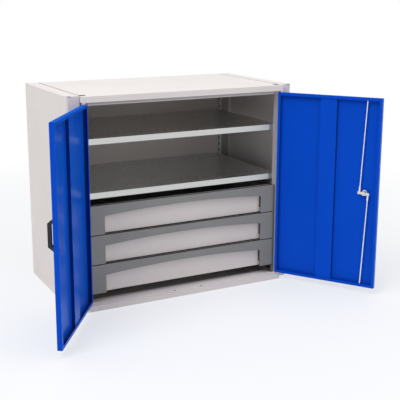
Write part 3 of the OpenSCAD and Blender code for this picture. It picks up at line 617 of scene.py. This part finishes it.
def bright_zinc(name, colour, rough, metal=1.0):
    """Zinc plating: fine brushed grain, a little cloudy."""
    f = Finish(name)
    cloud = f.noise(45.0, 4.0, 0.6)
    brushed = f.noise(500.0, 3.0, 0.6, stretch=(1.0, 1.0, 0.08))
    f.set(Base_Color=f.mix(f.spread(cloud, 0.0, 1.0), shade(colour, 0.88), shade(colour, 1.05)),
          Metallic=metal, Roughness=f.spread(brushed, rough - 0.06, rough + 0.08),
          Normal=f.bump(brushed, 0.00002, 0.4))
    return f.material


FINISHES = {}


def finishes():
    """Makes every finish once, from the colours of the panel."""
    if FINISHES:
        return FINISHES
    c = bpy.context.scene.cabinet_colours
    FINISHES.update(
        carcass=powder_coat("carcass_paint", c.carcass, c.inside, WALLS_INSIDE,
                            c.gap, (LID_SEAM, FOOT_SEAM), CARCASS_PAINTED_SHADE),
        floor_pan=powder_coat("base_paint", c.carcass, c.inside, FLOOR_INSIDE,
                              c.gap, (FOOT_SEAM, FOOT_HOLLOW), THRESHOLD_PAINTED_LIGHT),
        lid=powder_coat("lid_paint", c.carcass, c.inside, LID_INSIDE,
                        c.gap, (LID_SEAM, LID_CORNER, LID_HOLLOW), LID_PAINTED_SHADE),
        # painted shade: the back panel takes the darker inside paint
        inside=powder_coat("inside_paint", c.inside),
        # painted shade: the drawer supports are the inside paint at 0.3, so that the gap over the
        # drawers reads dark
        support=powder_coat("support_shaded_paint", shade(c.inside, 0.3)),
        door=door_coat("door_paint", c.doors),
        inset=powder_coat("inset_paint", c.inset, rough=0.5),
        tray=powder_coat("tray_paint", c.tray, rough=0.5),
        # painted shade on the drawer frames behind their front face
        front=moulded("front_plastic", c.front, 0.5, 1800.0, face=DRAWER_FACE + 0.0012),
        black=moulded("black_plastic", c.black, 0.42, 1500.0),
        bush=moulded("bush_plastic", shade(c.doors, 0.35), 0.5, 1500.0),
        screw=moulded("blued_steel", shade(c.doors, 0.07), 0.8, 2500.0),
        shelf=galvanised("shelf_sheet", c.shelf, 0.30, 55.0, lip=SHELF_FRONT + 0.0006,
                         rows=(SHELF_FRONT + SLOT_INSET, SHELF_BACK - SLOT_INSET)),
        upright=galvanised("upright_sheet", c.shelf, 0.45, 70.0, metal=0.6,
                           painted_shading=UPRIGHT_PAINTED_LIGHT_AND_SHADE, column=UPRIGHT_COLUMN),
        rod=bright_zinc("rod_zinc", c.rod, 0.34),
        rail=bright_zinc("rail_zinc", shade(c.zinc, 0.95), 0.34),
        zinc=bright_zinc("bright_zinc", c.zinc, 0.28),
        boss=bright_zinc("boss_zinc", c.zinc, 0.5, 0.35),
    )
    return FINISHES


# Pieces ------------------------------------------------------------------------

class CABINET_OT_carcass(bpy.types.Operator):
    """Side panels, drawer supports, lid, base and back with rounded folds"""
    bl_idname = "cabinet.carcass"
    bl_label = "Carcass"

    def execute(self, context):
        f, s = finishes(), context.scene.cabinet_sizes
        for side in SIDES:
            soften(f"side_panel_{side}", f"side_wall_{side}", f["carcass"], s.sheet_edge)
            soften(f"drawer_support_{side}", f"drawer_wall_{side}", f["support"], s.sheet_edge)
        soften("lid", "top_plate", f["lid"], s.sheet_edge)
        soften("base", "floor_plate", f["floor_pan"], s.sheet_edge)
        soften("back_panel", "back_plate", f["inside"], s.sheet_edge)
        return {"FINISHED"}


class CABINET_OT_uprights(bpy.types.Operator):
    """Slotted uprights"""
    bl_idname = "cabinet.uprights"
    bl_label = "Uprights"

    def execute(self, context):
        f = finishes()
        for side in SIDES:
            for place in ("front", "rear"):
                dress(f"{place}_upright_{side}", f["upright"])
        return {"FINISHED"}


class CABINET_OT_shelves(bpy.types.Operator):
    """Galvanised shelves and their clips"""
    bl_idname = "cabinet.shelves"
    bl_label = "Shelves"

    def execute(self, context):
        f, s = finishes(), context.scene.cabinet_sizes
        for place in ("upper", "lower"):
            dress(f"shelf_{place}", f["shelf"])
        soften("shelf_clips", "shelf_hooks", f["zinc"], s.sheet_edge)
        return {"FINISHED"}


class CABINET_OT_drawers(bpy.types.Operator):
    """Drawer fronts, trays, tray ends, screws and rails"""
    bl_idname = "cabinet.drawers"
    bl_label = "Drawers"

    def execute(self, context):
        f, s = finishes(), context.scene.cabinet_sizes
        for n in DRAWERS:
            soften(f"drawer_frame_{n}", f"front_moulding_{n}", f["front"], s.plastic_edge)
            dress(f"drawer_panel_{n}", f["inset"])
            dress(f"drawer_tray_{n}", f["tray"])
            dress(f"drawer_ends_{n}", f["tray"])
            soften(f"drawer_screws_{n}", f"front_screws_{n}", f["zinc"], s.metal_edge)
            for member in ("outer", "middle", "inner"):
                soften(f"{member}_rails_{n}", f"{member}_runners_{n}", f["rail"], s.metal_edge)
        return {"FINISHED"}


class CABINET_OT_doors(bpy.types.Operator):
    """Door pans, stiffeners, bushes, hinge pins and the bolts of the carcass"""
    bl_idname = "cabinet.doors"
    bl_label = "Doors"

    def execute(self, context):
        f, s = finishes(), context.scene.cabinet_sizes
        for side in SIDES:
            soften(f"{side}_door_pan", f"{side}_door_sheet", f["door"], s.sheet_edge)
            soften(f"{side}_door_stiffener", f"{side}_door_channel", f["door"], s.sheet_edge)
            soften(f"{side}_door_bushes", f"{side}_door_bearings", f["bush"], s.metal_edge)
        soften("hinge_pins", "pivot_pins", f["zinc"], s.metal_edge)
        soften("carcass_bolts", "corner_bolts", f["zinc"], s.metal_edge)
        return {"FINISHED"}


class CABINET_OT_handle(bpy.types.Operator):
    """Bridge handle of the left door and its screws"""
    bl_idname = "cabinet.handle"
    bl_label = "Handle"

    def execute(self, context):
        f, s = finishes(), context.scene.cabinet_sizes
        soften("door_handle", "bridge_handle", f["black"], s.handle_edge, 3)
        soften("handle_screws", "bridge_screws", f["screw"], s.metal_edge)
        return {"FINISHED"}


class CABINET_OT_lock(bpy.types.Operator):
    """Housing, lever, nut, key cylinder, crank and rods of the lock"""
    bl_idname = "cabinet.lock"
    bl_label = "Lock"

    def execute(self, context):
        f, s = finishes(), context.scene.cabinet_sizes
        soften("lock_housing", "lever_rosette", f["zinc"], s.lever_edge, 3)
        soften("lock_lever", "turning_lever", f["black"], s.lever_edge, 3)
        soften("lock_nut", "barrel_nut", f["door"], s.metal_edge)
        soften("lock_cylinder", "key_plug", f["zinc"], s.metal_edge)
        soften("lock_crank", "rod_crank", f["zinc"], s.metal_edge)
        soften("crank_screw", "crank_boss", f["boss"], s.metal_edge)
        soften("rod_pins", "crank_pins", f["zinc"], s.metal_edge)
        soften("upper_rod", "rod_up", f["rod"], s.metal_edge)
        soften("lower_rod", "rod_down", f["rod"], s.metal_edge)
        return {"FINISHED"}


# Stage -------------------------------------------------------------------------

def area_lamp(name, place, aim, size, power):
    lamp = bpy.data.lights.new(name, "AREA")
    lamp.shape = "RECTANGLE"
    lamp.size, lamp.size_y = size
    lamp.energy = power
    holder = bpy.data.objects.new(name, lamp)
    bpy.context.collection.objects.link(holder)
    holder.location = place
    holder.rotation_euler = (Vector(aim) - Vector(place)).to_track_quat("-Z", "Y").to_euler()


def seen_or_lit(tree, seen, lit):
    """Mixes what the camera, gloss and glass see with what lights the object."""
    path = tree.nodes.new("ShaderNodeLightPath")
    either = None
    for output in ("Is Camera Ray", "Is Glossy Ray", "Is Transmission Ray"):
        if either is None:
            either = path.outputs[output]
            continue
        most = tree.nodes.new("ShaderNodeMath")
        most.operation = "MAXIMUM"
        tree.links.new(either, most.inputs[0])
        tree.links.new(path.outputs[output], most.inputs[1])
        either = most.outputs[0]
    mixed = tree.nodes.new("ShaderNodeMixShader")
    tree.links.new(either, mixed.inputs[0])
    tree.links.new(lit, mixed.inputs[1])
    tree.links.new(seen, mixed.inputs[2])
    return mixed.outputs[0]


class CABINET_OT_stage(bpy.types.Operator):
    """Floor, lamps, world and camera"""
    bl_idname = "cabinet.stage"
    bl_label = "Stage"

    def execute(self, context):
        studio = context.scene.cabinet_studio
        deselect()
        bpy.ops.mesh.primitive_plane_add(size=FLOOR_SIZE, location=(0.0, 0.0, FLOOR_LEVEL))
        floor = context.object
        floor.name = "studio_floor"
        cover = bpy.data.materials.new("studio_floor")
        cover.use_nodes = True
        self.cover(cover.node_tree)
        wear(floor, cover)

        area_lamp("key_lamp", (-4.0, -2.4, 5.2), LAMP_AIM, (3.0, 3.0), studio.key)
        area_lamp("fill_lamp", (3.6, -3.0, 2.2), LAMP_AIM, (3.0, 2.4), studio.fill)
        area_lamp("top_lamp", (0.0, -0.6, 3.6), (0.0, -0.6, 0.0), (3.2, 3.2), studio.top)

        world = bpy.data.worlds.new("studio")
        world.use_nodes = True
        tree = world.node_tree
        output = tree.nodes["World Output"]
        lit = tree.nodes["Background"]
        lit.inputs["Color"].default_value = WHITE
        lit.inputs["Strength"].default_value = studio.world
        seen = tree.nodes.new("ShaderNodeBackground")
        seen.inputs["Color"].default_value = WHITE
        seen.inputs["Strength"].default_value = 1.0
        tree.links.new(seen_or_lit(tree, seen.outputs[0], lit.outputs[0]),
                       output.inputs["Surface"])
        context.scene.world = world

        camera = bpy.data.cameras.new("photo_camera")
        camera.lens_unit = "MILLIMETERS"
        camera.lens = studio.lens * 1000.0
        camera.sensor_width = 36.0
        camera.shift_x, camera.shift_y = CAMERA_SHIFT
        camera.clip_start = 0.05
        camera.clip_end = 200.0
        holder = bpy.data.objects.new("photo_camera", camera)
        context.collection.objects.link(holder)
        holder.location = CAMERA_PLACE
        holder.rotation_euler = (math.pi / 2 - CAMERA_DIP, 0.0, CAMERA_TURN)
        context.scene.camera = holder
        context.scene.view_settings.view_transform = "Standard"
        return {"FINISHED"}

    def cover(self, tree):
        """Near-white floor that keeps the object's shadow and fades into the background."""
        nodes, links = tree.nodes, tree.links
        matt = nodes["Principled BSDF"]
        matt.inputs["Base Color"].default_value = (0.88, 0.915, 0.97, 1.0)
        matt.inputs["Roughness"].default_value = 0.7
        matt.inputs["Specular IOR Level"].default_value = 0.2
        glow = nodes.new("ShaderNodeEmission")
        glow.inputs["Color"].default_value = WHITE
        place = nodes.new("ShaderNodeTexCoord")
        reach = nodes.new("ShaderNodeVectorMath")
        reach.operation = "LENGTH"
        links.new(place.outputs["Object"], reach.inputs[0])
        fade = nodes.new("ShaderNodeMapRange")
        for socket, value in FADE.items():
            fade.inputs[socket].default_value = value
        links.new(reach.outputs["Value"], fade.inputs["Value"])
        seen = nodes.new("ShaderNodeMixShader")
        links.new(fade.outputs["Result"], seen.inputs[0])
        links.new(matt.outputs[0], seen.inputs[1])
        links.new(glow.outputs[0], seen.inputs[2])
        bounce = nodes.new("ShaderNodeBsdfDiffuse")
        bounce.inputs["Color"].default_value = (0.92, 0.91, 0.90, 1.0)
        links.new(seen_or_lit(tree, seen.outputs[0], bounce.outputs[0]),
                  nodes["Material Output"].inputs["Surface"])


class CABINET_PT_panel(bpy.types.Panel):
    """Sizes, colours and steps of the cabinet"""
    bl_idname = "CABINET_PT_panel"
    bl_label = "Tool cabinet"
    bl_space_type = "VIEW_3D"
    bl_region_type = "UI"
    bl_category = "Cabinet"

    def draw(self, context):
        layout = self.layout
        for group in ("cabinet_colours", "cabinet_sizes", "cabinet_studio"):
            values = getattr(context.scene, group)
            box = layout.box()
            for key in values.bl_rna.properties.keys():
                if key not in ("rna_type", "name"):
                    box.prop(values, key)
        for step in STEPS:
            layout.operator(step.bl_idname)


GROUPS = {
    "cabinet_colours": CABINET_PG_colours,
    "cabinet_sizes": CABINET_PG_sizes,
    "cabinet_studio": CABINET_PG_studio,
}
STEPS = (
    CABINET_OT_stage,
    CABINET_OT_carcass,
    CABINET_OT_uprights,
    CABINET_OT_shelves,
    CABINET_OT_drawers,
    CABINET_OT_doors,
    CABINET_OT_handle,
    CABINET_OT_lock,
)
CLASSES = (*GROUPS.values(), *STEPS, CABINET_PT_panel)


def register():
    for made in CLASSES:
        bpy.utils.register_class(made)
    for name, group in GROUPS.items():
        setattr(bpy.types.Scene, name, PointerProperty(type=group))


def unregister():
    for name in GROUPS:
        delattr(bpy.types.Scene, name)
    for made in reversed(CLASSES):
        bpy.utils.unregister_class(made)


def main():
    register()
    for step in STEPS:
        family, name = step.bl_idname.split(".")
        getattr(getattr(bpy.ops, family), name)()


if __name__ == "__main__":
    main()
